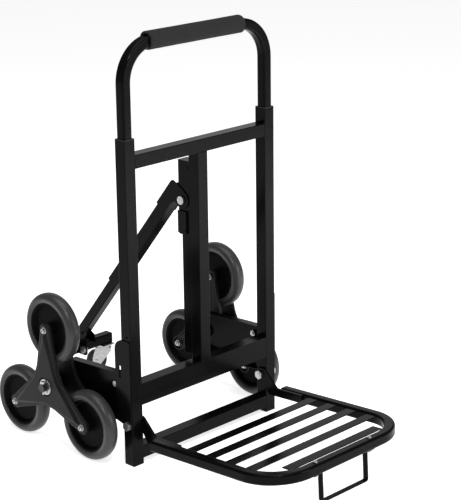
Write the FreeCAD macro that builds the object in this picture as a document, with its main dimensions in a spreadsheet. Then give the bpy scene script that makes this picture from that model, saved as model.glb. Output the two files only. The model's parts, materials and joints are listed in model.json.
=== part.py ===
"""Foldable stair climbing trolley: square-tube frame, telescopic handle, tri-star wheels,
folding toe platform and telescopic support leg with a caster bar.

Row frame: +Z up, ground at Z = 0, X across the trolley (left side is -X), the toe platform
points to -Y and the wheels and the support leg are on the +Y side. The origin is the middle
of the footprint. The pieces are drawn about the uprights' axis and every sub-part's Placement
then moves it back by middle_y, the uprights' distance from that middle. Millimetres.
"""
import FreeCAD
import Part
import Sketcher

import math
import os
import re

Vector = FreeCAD.Vector
X_AXIS = Vector(1, 0, 0)
Y_AXIS = Vector(0, 1, 0)
Z_AXIS = Vector(0, 0, 1)

# Driving dimensions, in millimetres and degrees. Each key is a cell alias of the sheet.
SIZES = {
    "middle_y": 11,
    # frame of 30 mm square tube
    "upright_pitch": 426, "frame_tube": 30, "frame_wall": 1.5, "frame_round": 1.5,
    "upright_top": 736, "top_bar_low": 672, "mid_bar_low": 139, "mid_bar_high": 189,
    "low_bar_low": 13, "bush_flange": 2, "bush_depth": 24, "plug_flange": 2,
    # telescopic handle
    "handle_tube_size": 25, "handle_wall": 1.5, "handle_round": 3.5, "bent_round": 6,
    "handle_bar_height": 935, "handle_bend": 83, "handle_foot": 480, "grip_across": 40,
    "grip_left": 146, "grip_right": 135.5, "stop_pin_height": 500, "stop_pin_across": 8,
    "stop_slot_low": 395, "stop_slot_high": 655, "stop_slot_width": 8.8,
    # support leg, in its own frame: origin at the pivot, leg hanging straight down
    "leg_pivot_y": 36, "leg_pivot_height": 558, "leg_angle": 39.4, "leg_offset": 33.3,
    "leg_outer_foot": 350, "leg_inner_top": 200, "leg_inner_foot": 574, "leg_pin_across": 10,
    "leg_stop_drop": 215, "leg_slot_high": 70, "leg_slot_low": 252,
    "clevis_plate": 2.5, "clevis_low": 68, "clevis_high": 14, "ear_reach": 19,
    "bracket_width": 29, "bracket_low": 478, "bracket_high": 649, "bracket_depth": 33.5,
    "rail_low": 200, "rail_depth": 23.5, "sheet_metal": 2.5,
    # caster bar on the leg
    "bar_y": 427, "bar_height": 110.5, "bar_half": 93, "cap_length": 3,
    "caster_x": 77, "caster_trail": 18, "caster_across": 50, "caster_tread": 20,
    "caster_axle_height": 55, "king_pin_across": 8, "caster_turn": 45,
    # wheel stars
    "axle_y": 208.2, "axle_height": 147.1, "axle_across": 19, "star_reach": 133.4,
    "wheel_radius": 80.4, "wheel_tread": 33, "tyre_inner": 60, "tyre_shoulder": 12,
    "wheel_outer_x": 274.5, "star_face_x": 284, "star_plate": 2.5, "star_flange": 8,
    "right_play": 6.5,
    "star_tip": 17, "star_waist": 45, "inner_plate_x": 236.5, "inner_flange": 5.5,
    "hub_across": 32, "hub_outer_x": 286, "hub_inner_x": 226.5, "wheel_bolt_across": 10,
    "washer_across": 37, "axle_end_x": 300,
    # wheel brackets and axle carriers
    "wheel_bracket_plate": 3, "carrier_x": 222, "carrier_depth": 19, "carrier_plate": 3,
    # folding toe platform, in its own frame: origin at the fold pivot
    "fold_height": 94, "platform_rise": 3.1, "loop_width": 445, "loop_drop": 35.9,
    "loop_back": 59.5, "loop_front": 426.5, "loop_bend": 92, "lug_plate": 5,
    "slat_width": 26, "slat_plate": 2, "slat_pitch": 58, "slat_first": 150,
    "foot_half": 74, "foot_aside": -6, "foot_ear": 24, "foot_plate": 3, "foot_width": 12, "foot_depth": 68.5,
    "fold_bolt_across": 12,
    "running_gap": 0.05, "slide_gap": 0.3,
}

doc = FreeCAD.newDocument("StairTrolley")
sheet = doc.addObject("Spreadsheet::Sheet", "Sizes")
for row, (alias, number) in enumerate(SIZES.items(), start=1):
    sheet.set(f"A{row}", alias)
    sheet.set(f"B{row}", str(number))
    sheet.setAlias(f"B{row}", alias)
doc.recompute()

nodes = []


# ---------------------------------------------------------------- helpers
def cell(text):
    """Expression with every alias written as a reference to the sheet."""
    def reference(match):
        word = match.group()
        return "Sizes." + word if word in SIZES else word
    return re.sub(r"[A-Za-z_]\w*", reference, str(text))


def value(text):
    """Number that an expression in the sheet's aliases has now."""
    return float(sheet.evalExpression(str(text)))


def bind(item, prop, text):
    item.setExpression(prop, cell(text))
    return item


def place(item, x="0", y="0", z="0", turn=None):
    """Put an object at a point given in expressions, turned by (axis, degrees expression)."""
    if turn:
        axis, degrees = turn
        item.Placement = FreeCAD.Placement(Vector(), FreeCAD.Rotation(axis, value(degrees)))
        bind(item, "Placement.Rotation.Angle", f"({degrees}) * 1 deg")
    for letter, text in zip("xyz", (x, y, z)):
        bind(item, f"Placement.Base.{letter}", f"({text}) * 1 mm")
    return item


def node(item, label):
    """A finished sub-part: the piece moved from the uprights' frame into the row's frame."""
    item.Label = label + "_drawn"
    part = doc.addObject("Part::Compound", label + "_node")
    part.Links = [item]
    part.Label = label
    nodes.append(place(part, y="-middle_y"))
    return item


def new_body(name):
    return doc.addObject("PartDesign::Body", name + "_body")


def new_sketch(body, plane, name):
    origin_plane = next(f for f in body.Origin.OriginFeatures if f.Role == plane)
    sketch = body.newObject("Sketcher::SketchObject", name)
    sketch.AttachmentSupport = [(origin_plane, "")]
    sketch.MapMode = "FlatFace"
    return sketch


def pin_point(sketch, geometry, end, x, y):
    """Hold one end of a sketch line at (x, y), both bound to the sheet."""
    for kind, text in (("DistanceX", x), ("DistanceY", y)):
        index = sketch.addConstraint(
            Sketcher.Constraint(kind, -1, 1, geometry, end, value(text)))
        bind(sketch, f"Constraints[{index}]", text)


def add_polygon(sketch, points):
    spots = [Vector(value(x), value(y), 0) for x, y in points]
    first = sketch.GeometryCount
    count = len(spots)
    for i, spot in enumerate(spots):
        sketch.addGeometry(Part.LineSegment(spot, spots[(i + 1) % count]), False)
    for i in range(count):
        sketch.addConstraint(
            Sketcher.Constraint("Coincident", first + i, 2, first + (i + 1) % count, 1))
    for i, (x, y) in enumerate(points):
        pin_point(sketch, first + i, 1, x, y)


def add_circle(sketch, x, y, radius):
    circle = Part.Circle(Vector(value(x), value(y), 0), Z_AXIS, value(radius))
    index = sketch.addGeometry(circle, False)
    pin_point(sketch, index, 3, x, y)
    size = sketch.addConstraint(Sketcher.Constraint("Radius", index, value(radius)))
    bind(sketch, f"Constraints[{size}]", radius)


def add_round_square(sketch, size, radius):
    """Square with rounded corners about the sketch's origin."""
    half, r = value(size) / 2, value(radius)
    flat = half - r
    first = sketch.GeometryCount
    for quarter in range(4):
        turn = FreeCAD.Rotation(Z_AXIS, 90 * quarter)
        start = turn.multVec(Vector(-flat, -half, 0))
        stop = turn.multVec(Vector(flat, -half, 0))
        centre = turn.multVec(Vector(flat, -flat, 0))
        angle = math.radians(90 * quarter - 90)
        sketch.addGeometry(Part.LineSegment(start, stop), False)
        arc = Part.ArcOfCircle(Part.Circle(centre, Z_AXIS, r), angle, angle + math.pi / 2)
        sketch.addGeometry(arc, False)
    for i in range(8):
        sketch.addConstraint(
            Sketcher.Constraint("Tangent", first + i, 2, first + (i + 1) % 8, 1))
    for side, kind in enumerate(("Horizontal", "Vertical") * 2):
        sketch.addConstraint(Sketcher.Constraint(kind, first + 2 * side))
    for side in (1, 2, 3):
        sketch.addConstraint(Sketcher.Constraint("Equal", first + 1, first + 2 * side + 1))
    index = sketch.addConstraint(Sketcher.Constraint("Radius", first + 1, r))
    bind(sketch, f"Constraints[{index}]", radius)
    for side, (kind, sign) in enumerate((("DistanceY", -1), ("DistanceX", 1),
                                         ("DistanceY", 1), ("DistanceX", -1))):
        index = sketch.addConstraint(
            Sketcher.Constraint(kind, -1, 1, first + 2 * side, 1, sign * half))
        bind(sketch, f"Constraints[{index}]", f"{sign} * ({size}) / 2")


def pad(body, sketch, length, symmetric=False):
    feature = body.newObject("PartDesign::Pad", "Pad")
    feature.Profile = sketch
    feature.SideType = "Symmetric" if symmetric else "One side"
    bind(feature, "Length", length)
    doc.recompute()
    return feature


def round_edges(body, axis, points, radius):
    """Fillet the straight edges along an axis that pass through the given cross points."""
    feature = body.Tip
    spots = [(value(a), value(b)) for a, b in points]
    picked = []
    for number, edge in enumerate(feature.Shape.Edges, start=1):
        if not isinstance(edge.Curve, Part.Line) or abs(edge.Curve.Direction.dot(axis)) < 0.999:
            continue
        p = edge.Vertexes[0].Point
        across = [c for c, a in zip(p, axis) if abs(a) < 0.5]
        if any(math.dist(across, spot) < 0.01 for spot in spots):
            picked.append(f"Edge{number}")
    fillet = body.newObject("PartDesign::Fillet", "Round")
    fillet.Base = (feature, picked)
    bind(fillet, "Radius", radius)
    doc.recompute()
    return fillet


def round_rims(body, circle_radius, radius):
    """Fillet the circular edges of one radius, such as a tyre's shoulders."""
    feature = body.Tip
    target = value(circle_radius)
    picked = [f"Edge{number}" for number, edge in enumerate(feature.Shape.Edges, start=1)
              if isinstance(edge.Curve, Part.Circle) and abs(edge.Curve.Radius - target) < 0.01]
    fillet = body.newObject("PartDesign::Fillet", "Round")
    fillet.Base = (feature, picked)
    bind(fillet, "Radius", radius)
    doc.recompute()
    return fillet


def square_tube(name, plane, length, size, radius, wall, symmetric=False):
    """Straight square tube with rounded corners, its section in the named plane."""
    body = new_body(name)
    section = new_sketch(body, plane, "Section")
    add_round_square(section, size, radius)
    add_round_square(section, f"{size} - 2 * {wall}", f"max({radius} - {wall}; 0.5)")
    pad(body, section, length, symmetric)
    return body


def plate(name, points, thickness, holes=(), rounds=(), windows=()):
    """Flat plate in the YZ plane, its thickness along +X."""
    body = new_body(name)
    outline = new_sketch(body, "YZ_Plane", "Outline")
    add_polygon(outline, points)
    for y, z, radius in holes:
        add_circle(outline, y, z, radius)
    for window in windows:
        add_polygon(outline, window)
    pad(body, outline, thickness)
    for corners, radius in rounds:
        round_edges(body, X_AXIS, corners, radius)
    return body


def hollow_out(body, towards, thickness):
    """Turn a solid plate into a pressed pan, open on the side that faces an axis."""
    base = body.Tip
    number = max(range(len(base.Shape.Faces)),
                 key=lambda i: base.Shape.Faces[i].CenterOfMass.dot(towards)
                 if isinstance(base.Shape.Faces[i].Surface, Part.Plane)
                 and base.Shape.Faces[i].normalAt(0, 0).dot(towards) > 0.99 else -1e9)
    pan = body.newObject("PartDesign::Thickness", "Pan")
    pan.Base = (base, [f"Face{number + 1}"])
    bind(pan, "Value", thickness)
    pan.Reversed = True
    doc.recompute()
    return pan


def u_tube(name, half, foot, bar, bend, size, radius, wall):
    """Square tube bent into a U: legs along Z from foot up, the bar across at height bar."""
    body = new_body(name)
    path = new_sketch(body, "XZ_Plane", "Path")
    w, low, top, r = value(half), value(foot), value(bar), value(bend)
    path.addGeometry(Part.LineSegment(Vector(-w, low, 0), Vector(-w, top - r, 0)), False)
    path.addGeometry(Part.ArcOfCircle(
        Part.Circle(Vector(r - w, top - r, 0), Z_AXIS, r), math.pi / 2, math.pi), False)
    path.addGeometry(Part.LineSegment(Vector(r - w, top, 0), Vector(w - r, top, 0)), False)
    path.addGeometry(Part.ArcOfCircle(
        Part.Circle(Vector(w - r, top - r, 0), Z_AXIS, r), 0, math.pi / 2), False)
    path.addGeometry(Part.LineSegment(Vector(w, top - r, 0), Vector(w, low, 0)), False)
    for joint in ((0, 2, 1, 2), (1, 1, 2, 1), (2, 2, 3, 2), (3, 1, 4, 1)):
        path.addConstraint(Sketcher.Constraint("Tangent", *joint))
    for kind, line in (("Vertical", 0), ("Horizontal", 2), ("Vertical", 4)):
        path.addConstraint(Sketcher.Constraint(kind, line))
    path.addConstraint(Sketcher.Constraint("Equal", 1, 3))
    index = path.addConstraint(Sketcher.Constraint("Radius", 1, r))
    bind(path, f"Constraints[{index}]", bend)
    pin_point(path, 0, 1, f"-({half})", foot)
    pin_point(path, 4, 2, half, foot)
    index = path.addConstraint(Sketcher.Constraint("DistanceY", -1, 1, 2, 1, top))
    bind(path, f"Constraints[{index}]", bar)
    section = new_sketch(body, "XY_Plane", "Section")
    bind(section, "AttachmentOffset.Base.x", f"-({half}) * 1 mm")
    bind(section, "AttachmentOffset.Base.z", f"({foot}) * 1 mm")
    add_round_square(section, size, radius)
    add_round_square(section, f"{size} - 2 * {wall}", f"{radius} - {wall}")
    doc.recompute()
    pipe = body.newObject("PartDesign::AdditivePipe", "Pipe")
    pipe.Profile = section
    pipe.Spine = (path, [f"Edge{i + 1}" for i in range(5)])
    doc.recompute()
    return body


def turned(name, points, shoulders=()):
    """Solid of revolution about X from a closed outline of (x, radius) points."""
    body = new_body(name)
    outline = new_sketch(body, "XZ_Plane", "Outline")
    add_polygon(outline, points)
    doc.recompute()
    spin = body.newObject("PartDesign::Revolution", "Turned")
    spin.Profile = outline
    spin.ReferenceAxis = (outline, ["H_Axis"])
    spin.Angle = 360
    doc.recompute()
    for circle_radius, radius in shoulders:
        round_rims(body, circle_radius, radius)
    return body


def box(name, x, y, z):
    """Box from three (low, high) pairs of expressions."""
    item = doc.addObject("Part::Box", name)
    for prop, (low, high) in zip(("Length", "Width", "Height"), (x, y, z)):
        bind(item, prop, f"({high}) - ({low})")
    return place(item, x[0], y[0], z[0])


def rod(name, radius, low, high, y="0", z="0"):
    """Cylinder along X from low to high at (y, z)."""
    item = doc.addObject("Part::Cylinder", name)
    bind(item, "Radius", radius)
    bind(item, "Height", f"({high}) - ({low})")
    return place(item, low, y, z, (Y_AXIS, "90"))


def post(name, radius, low, high, x="0", y="0"):
    """Cylinder along Z from low to high at (x, y)."""
    item = doc.addObject("Part::Cylinder", name)
    bind(item, "Radius", radius)
    bind(item, "Height", f"({high}) - ({low})")
    return place(item, x, y, low)


def hexagon(name, flats, low, high, y="0", z="0"):
    """Hexagonal head or nut along X, stated by its width across flats."""
    item = doc.addObject("Part::Prism", name)
    item.Polygon = 6
    bind(item, "Circumradius", f"({flats}) / sqrt(3)")
    bind(item, "Height", f"({high}) - ({low})")
    return place(item, low, y, z, (Y_AXIS, "90"))


def fuse(name, *items):
    item = doc.addObject("Part::MultiFuse", name)
    item.Shapes = list(items)
    return item


def cut(name, base, *tools):
    item = doc.addObject("Part::Cut", name)
    item.Base = base
    item.Tool = tools[0] if len(tools) == 1 else fuse(name + "_tools", *tools)
    return item


def group(name, *items):
    item = doc.addObject("Part::Compound", name)
    item.Links = list(items)
    return item


def mirrored(name, source):
    """The same piece on the trolley's other side."""
    item = doc.addObject("Part::Mirroring", name)
    item.Source = source
    item.Base = Vector()
    item.Normal = X_AXIS
    return item


def on_right(name, item, play="0"):
    """The piece mirrored to the right (+X) side and moved outwards by its play."""
    return place(group(name, mirrored(name + "_mirror", item)), x=play)


def both_sides(name, build, play="0"):
    """Build a piece on the left (-X) side and mirror it to the right, as two nodes."""
    left = node(build(name + "_left"), name + "_left")
    node(on_right(name + "_right_part", left, play), name + "_right")


def pair(name, item, play="0"):
    """A piece and its mirror image, together in one node."""
    return node(group(name + "_pair", item, on_right(name + "_twin", item, play)), name)


# ---------------------------------------------------------------- frame
HALF = "frame_tube / 2"
UPRIGHT_X = "upright_pitch / 2"
UPRIGHT_IN = f"{UPRIGHT_X} - {HALF}"
UPRIGHT_OUT = f"{UPRIGHT_X} + {HALF}"


def make_upright(name):
    tube = square_tube(name, "XY_Plane", "upright_top - plug_flange", "frame_tube", "frame_round",
                       "frame_wall")
    place(tube, f"-{UPRIGHT_X}", z="plug_flange")
    slot = box(name + "_slot",
               (f"-{UPRIGHT_X} - stop_slot_width / 2", f"-{UPRIGHT_X} + stop_slot_width / 2"),
               ("10", "20"), ("stop_slot_low", "stop_slot_high"))
    hole = rod(name + "_hole", "fold_bolt_across / 2", f"-({UPRIGHT_OUT}) - 5",
               f"-({UPRIGHT_IN}) + 5", "0", "fold_height")
    side_hole = rod(name + "_side_hole", "2.5", f"-({UPRIGHT_OUT}) - 5", f"-{UPRIGHT_X}",
                    "-4", "301")
    return cut(name, tube, slot, hole, side_hole)


both_sides("upright", make_upright)

top_bar = square_tube("top_crossbar", "YZ_Plane", f"2 * ({UPRIGHT_IN})", "frame_tube",
                      "frame_round", "frame_wall", symmetric=True)
node(place(top_bar, z=f"top_bar_low + {HALF}"), "top_crossbar")

low_bar = square_tube("bottom_crossbar", "YZ_Plane", f"2 * ({UPRIGHT_IN})", "frame_tube",
                      "frame_round", "frame_wall", symmetric=True)
node(place(low_bar, z=f"low_bar_low + {HALF}"), "bottom_crossbar")

mid_outer = box("mid_outer", (f"-({UPRIGHT_IN})", UPRIGHT_IN), (f"-{HALF}", HALF),
                ("mid_bar_low", "mid_bar_high"))
mid_inner = box("mid_inner", (f"-({UPRIGHT_IN}) - 1", f"{UPRIGHT_IN} + 1"),
                (f"frame_wall - {HALF}", f"{HALF} - frame_wall"),
                ("mid_bar_low + frame_wall", "mid_bar_high - frame_wall"))
node(cut("mid_crossbar_tube", mid_outer, mid_inner), "mid_crossbar")

centre = square_tube("centre_post", "XY_Plane", "top_bar_low - mid_bar_high", "frame_tube",
                     "frame_round", "frame_wall")
node(place(centre, z="mid_bar_high"), "centre_post")

# Channel behind the centre post, open to the rear.
rail_block = box("rail_block", (f"-{HALF}", HALF), (HALF, f"{HALF} + rail_depth"),
                 ("rail_low", "bracket_low"))
rail_room = box("rail_room", (f"sheet_metal - {HALF}", f"{HALF} - sheet_metal"),
                (f"{HALF} + sheet_metal", f"{HALF} + rail_depth + 1"),
                ("rail_low - 1", "bracket_low + 1"))
node(cut("leg_rail_channel", rail_block, rail_room), "leg_rail")

# Pivot bracket of the support leg: a deeper channel with a closed top.
bracket_block = box("bracket_block", ("-bracket_width / 2", "bracket_width / 2"),
                    (HALF, f"{HALF} + bracket_depth"), ("bracket_low", "bracket_high"))
bracket_room = box("bracket_room",
                   ("sheet_metal - bracket_width / 2", "bracket_width / 2 - sheet_metal"),
                   (f"{HALF} + sheet_metal", f"{HALF} + bracket_depth + 1"),
                   ("bracket_low - 1", "bracket_high - sheet_metal"))
bracket_hole = rod("bracket_hole", "leg_pin_across / 2", "-bracket_width", "bracket_width",
                   "leg_pivot_y", "leg_pivot_height")
bracket_channel = cut("leg_bracket_channel", bracket_block, bracket_room, bracket_hole)
rivet_head = rod("rivet_head", "4.5", "-bracket_width / 2 - 1.5", "-bracket_width / 2 + 1",
                 "22.5", "632.5")
node(fuse("leg_bracket_riveted", bracket_channel, rivet_head,
          mirrored("rivet_head_right", rivet_head)), "leg_bracket")

# Stop block screwed to the bracket's left cheek, below the pivot.
stop_plate = box("stop_plate", ("-19", "-bracket_width / 2"), ("22", "48"), ("482", "533"))
stop_screw = rod("stop_screw", "2.5", "-20.2", "-18.5", "27", "488")
node(fuse("leg_stop_block_part", stop_plate, stop_screw), "leg_stop_block")


def make_bush(name):
    """Plastic guide in the mouth of an upright, round the handle's leg."""
    body = new_body(name)
    sleeve = new_sketch(body, "XY_Plane", "Sleeve")
    add_round_square(sleeve, "frame_tube - 2 * frame_wall", "1")
    add_round_square(sleeve, "handle_tube_size + 2 * slide_gap", "bent_round + slide_gap")
    pad(body, sleeve, "bush_depth")
    collar = new_sketch(body, "XY_Plane", "Collar")
    bind(collar, "AttachmentOffset.Base.z", "bush_depth * 1 mm")
    add_round_square(collar, "frame_tube", "frame_round")
    add_round_square(collar, "handle_tube_size + 2 * slide_gap", "bent_round + slide_gap")
    pad(body, collar, "bush_flange")
    return place(body, f"-{UPRIGHT_X}", z="upright_top - bush_depth")


pair("guide_bushes", make_bush("guide_bush"))

foot_plug = new_body("upright_foot")
foot_pad = new_sketch(foot_plug, "XY_Plane", "Pad")
add_round_square(foot_pad, "frame_tube", "frame_round")
pad(foot_plug, foot_pad, "plug_flange")
foot_stem = new_sketch(foot_plug, "XY_Plane", "Stem")
bind(foot_stem, "AttachmentOffset.Base.z", "plug_flange * 1 mm")
add_round_square(foot_stem, "frame_tube - 2 * frame_wall", "1")
pad(foot_plug, foot_stem, "10")
pair("upright_feet", place(foot_plug, f"-{UPRIGHT_X}"))

# ---------------------------------------------------------------- handle
handle = u_tube("handle_tube", UPRIGHT_X, "handle_foot", "handle_bar_height", "handle_bend",
                "handle_tube_size", "bent_round", "handle_wall")
stop_pin = doc.addObject("Part::Cylinder", "handle_stop_pin")
bind(stop_pin, "Radius", "stop_pin_across / 2")
bind(stop_pin, "Height", "6.5 * 1 mm")
place(stop_pin, f"-{UPRIGHT_X}", "16.5", "stop_pin_height", (X_AXIS, "90"))
node(fuse("handle_tube_pinned", handle, stop_pin, mirrored("handle_stop_pin_twin", stop_pin)),
     "handle_tube")

grip = new_body("handle_grip")
grip_section = new_sketch(grip, "YZ_Plane", "Section")
add_circle(grip_section, "0", "0", "grip_across / 2")
add_round_square(grip_section, "handle_tube_size", "bent_round")
pad(grip, grip_section, "grip_left + grip_right", symmetric=True)
round_rims(grip, "grip_across / 2", "3")
place(grip, "(grip_right - grip_left) / 2", z="handle_bar_height")
GRIP_MOUTH = ("handle_bar_height - 15", "handle_bar_height + 15")
BAR_STRAIGHT = f"{UPRIGHT_X} - handle_bend - 2"
mouths = [box("grip_mouth_left", ("-grip_left - 1", f"-({BAR_STRAIGHT})"), ("-15", "15"), GRIP_MOUTH),
          box("grip_mouth_right", (BAR_STRAIGHT, "grip_right + 1"), ("-15", "15"), GRIP_MOUTH)]
node(cut("handle_grip_opened", grip, *mouths), "handle_grip")


# ---------------------------------------------------------------- support leg
LEG_TURN = (X_AXIS, "leg_angle")


def on_leg(item):
    """Carry a piece built in the leg's own frame to the deployed leg."""
    return place(item, "0", "leg_pivot_y", "leg_pivot_height", LEG_TURN)


def leg_tube(name, size, radius, high, low):
    """Square tube of the leg, between two distances below the pivot."""
    tube = square_tube(name, "XY_Plane", f"({low}) - ({high})", size, radius, "frame_wall")
    return place(tube, "0", "leg_offset", f"-({low})")


outer = leg_tube("leg_outer", "frame_tube", "frame_round", "2", "leg_outer_foot")
slot = box("leg_slot", ("13", "20"), ("leg_offset - 3.4", "leg_offset + 3.4"),
           ("-leg_slot_low", "-leg_slot_high"))
node(on_leg(cut("leg_outer_slotted", outer, slot)), "leg_outer_tube")

inner = leg_tube("leg_inner", "handle_tube_size", "handle_round", "leg_inner_top",
                 "leg_inner_foot")
pin = rod("leg_pin", "3", "11.5", "16.5", "leg_offset", "-leg_stop_drop")
node(on_leg(fuse("leg_inner_pinned", inner, pin)), "leg_inner_tube")

CLEVIS_BACK = f"leg_offset + {HALF} + clevis_plate"
CLEVIS_FRONT = f"leg_offset - {HALF}"
clevis = plate("leg_clevis", [
    (CLEVIS_BACK, "-clevis_low"), (CLEVIS_BACK, "clevis_high"), ("18", "ear_reach + 1"),
    ("-ear_reach", "ear_reach + 1"), ("-ear_reach", "-ear_reach"), ("12", "-ear_reach"),
    (CLEVIS_FRONT, "-1.6 * ear_reach"), (CLEVIS_FRONT, "-clevis_low")],
    "frame_tube + 2 * clevis_plate",
    holes=[("0", "0", "leg_pin_across / 2 + running_gap")],
    rounds=[([(CLEVIS_BACK, "clevis_high")], "8"),
            ([("-ear_reach", "ear_reach + 1"), ("-ear_reach", "-ear_reach")], "18.5")])
place(clevis, f"-({HALF} + clevis_plate)")
clevis_room = box("clevis_room", (f"-{HALF}", HALF), ("-60", f"leg_offset + {HALF}"),
                  ("-100", "60"))
clevis_mouth = box("clevis_mouth", (f"-{HALF}", HALF), ("-60", "60"), ("-clevis_low / 3", "60"))
node(on_leg(cut("leg_clevis_channel", clevis, clevis_room, clevis_mouth)), "leg_clevis")

CHEEK = f"{HALF} + clevis_plate"
leg_bolt = fuse(
    "leg_pivot_bolt_part",
    rod("leg_bolt_shank", "leg_pin_across / 2", "-23", "21", "leg_pivot_y", "leg_pivot_height"),
    rod("leg_bolt_head", "9.5", f"-({CHEEK}) - 5", f"-({CHEEK}) - slide_gap",
        "leg_pivot_y", "leg_pivot_height"),
    hexagon("leg_bolt_nut", "16", f"{CHEEK} + slide_gap", f"{CHEEK} + 6.5",
            "leg_pivot_y", "leg_pivot_height"))
node(leg_bolt, "leg_pivot_bolt")

# Foot bracket, a folded plate that holds the caster bar under the inner tube.
BAR_HALF = "handle_tube_size / 2"
foot_outline = [("387", "148"), ("403", "156"), ("428", "152"), ("454", "124.5"),
                ("454", "99.5"), ("383", "99.5"), ("383", "127")]
foot = plate("leg_foot", foot_outline, "handle_tube_size + 2 * clevis_plate",
             rounds=[([("383", "99.5"), ("383", "127")], "8"), ([("454", "99.5")], "10")])
place(foot, f"-({BAR_HALF} + clevis_plate)")
foot_room = box("foot_room", (f"-({BAR_HALF})", BAR_HALF),
                ("-60", f"leg_offset + {BAR_HALF}"), ("-700", "-450"))
foot_room = on_leg(group("foot_room_on_leg", foot_room))
foot_bar_room = box("foot_bar_room", ("-100", "100"), (f"bar_y - {BAR_HALF}", f"bar_y + {BAR_HALF}"),
                    (f"bar_height - {BAR_HALF}", f"bar_height + {BAR_HALF}"))
foot_hole = rod("foot_hole", "5", "-40", "40", "394", "114")
short_cheek = box("short_cheek", ("0", "40"), ("380", f"bar_y - {BAR_HALF}"), ("90", "128"))
node(cut("leg_foot_channel", foot, foot_room, foot_bar_room, foot_hole, short_cheek),
     "leg_foot_bracket")
FOOT_CHEEK = f"{BAR_HALF} + clevis_plate"
node(fuse("leg_foot_bolt_part",
          rod("foot_bolt_shank", "5", f"-({FOOT_CHEEK}) - 2", f"-({BAR_HALF}) + 6", "394", "114"),
          rod("foot_bolt_head", "9", f"-({FOOT_CHEEK}) - 5", f"-({FOOT_CHEEK})", "394", "114"),
          hexagon("foot_bolt_nut", "13", f"-({BAR_HALF})", f"-({BAR_HALF}) + 5", "394", "114")),
     "leg_foot_bolt")

bar = square_tube("caster_bar", "YZ_Plane", "2 * bar_half", "handle_tube_size", "handle_round",
                  "frame_wall", symmetric=True)
node(place(bar, y="bar_y", z="bar_height"), "caster_bar")
cap = new_body("bar_cap")
cap_face = new_sketch(cap, "YZ_Plane", "Face")
add_round_square(cap_face, "handle_tube_size", "handle_round")
pad(cap, cap_face, "cap_length")
cap_plug = new_sketch(cap, "YZ_Plane", "Plug")
bind(cap_plug, "AttachmentOffset.Base.z", "cap_length * 1 mm")
add_round_square(cap_plug, "handle_tube_size - 2 * frame_wall", "2.5")
pad(cap, cap_plug, "12")
pair("caster_bar_caps", place(cap, "-(bar_half + cap_length)", "bar_y", "bar_height"))

# Casters: fixed top plate with the king pin, swivel fork with its axle, and a wheel.
BAR_UNDER = f"bar_height - {BAR_HALF}"


def make_caster_plate(name):
    top = box(name + "_plate", ("-caster_x - 19", "-caster_x + 19"), ("bar_y - 21", "bar_y + 21"),
              (f"{BAR_UNDER} - 2.5", BAR_UNDER))
    race = post(name + "_race", "19", f"{BAR_UNDER} - 8", f"{BAR_UNDER} - 2.5",
                "-caster_x", "bar_y")
    king = post(name + "_king", "king_pin_across / 2", f"{BAR_UNDER} - 14.5",
                f"{BAR_UNDER} - 2.5", "-caster_x", "bar_y")
    head = post(name + "_head", "6.5", f"{BAR_UNDER} - 14.5", f"{BAR_UNDER} - 12.5",
                "-caster_x", "bar_y")
    return fuse(name, top, race, king, head)


pair("caster_plates", make_caster_plate("caster_plate"))


def swivelled(item):
    """Carry a piece drawn about the king pin to its caster, turned as it stands at rest."""
    return place(group(item.Name + "_turned", item), "-caster_x", "bar_y",
                 turn=(Z_AXIS, "-caster_turn"))


def make_fork(name):
    arms = plate(name + "_arms", [
        ("-19", f"{BAR_UNDER} - 8.5"), ("19", f"{BAR_UNDER} - 8.5"),
        ("caster_trail + 9", "caster_axle_height + 8"),
        ("caster_trail + 9", "caster_axle_height - 10"),
        ("caster_trail - 9", "caster_axle_height - 10"), ("-19", f"{BAR_UNDER} - 16")],
        "caster_tread + 8", rounds=[
            ([("caster_trail + 9", "caster_axle_height - 10"),
              ("caster_trail - 9", "caster_axle_height - 10")], "8")])
    place(arms, "-caster_tread / 2 - 4")
    room = box(name + "_room", ("-caster_tread / 2 - 2", "caster_tread / 2 + 2"),
               ("-60", "90"), ("0", f"{BAR_UNDER} - 11.5"))
    pin_room = post(name + "_pin_room", "king_pin_across / 2 + running_gap", "60", "110")
    axle = rod(name + "_axle", "4", "-caster_tread / 2 - 6", "caster_tread / 2 + 6",
               "caster_trail", "caster_axle_height")
    return swivelled(fuse(name + "_riveted", cut(name + "_frame", arms, room, pin_room), axle))


def make_caster_wheel(name):
    half = "caster_tread / 2"
    wheel = turned(name + "_disc", [
        (f"-{half} - 1", "4 + running_gap"), (f"{half} + 1", "4 + running_gap"),
        (f"{half} + 1", "9"), (half, "9"), (half, "caster_across / 2"),
        (f"-{half}", "caster_across / 2"), (f"-{half}", "9"), (f"-{half} - 1", "9")],
        shoulders=[("caster_across / 2", "3")])
    return swivelled(place(wheel, "0", "caster_trail", "caster_axle_height"))


both_sides("caster_fork", make_fork)
both_sides("caster_wheel", make_caster_wheel)

# ---------------------------------------------------------------- wheel brackets and stars
FRONT_BOLT = ("26", "110")
REAR_BOLT = ("43", "181")


def make_wheel_bracket(name):
    slot_corners = [("15.5", "203"), ("22.5", "203"), ("22.5", "232"), ("15.5", "232")]
    bracket = plate(name, [
        ("-13", "107"), ("4", "107"), ("13", "96"), ("34", "101"), ("34", "292"), ("-13", "292")],
        "wheel_bracket_plate",
        rounds=[([("34", "292")], "25"), ([("34", "101")], "5"), ([("-13", "292")], "4")],
        windows=[slot_corners])
    round_edges(bracket, X_AXIS, slot_corners, "3")
    place(bracket, f"-({UPRIGHT_OUT}) - wheel_bracket_plate")
    return cut(name + "_drilled", bracket, rod(f"{name}_hole", "4", "-240", "-220", *FRONT_BOLT))


both_sides("wheel_bracket", make_wheel_bracket)


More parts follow.
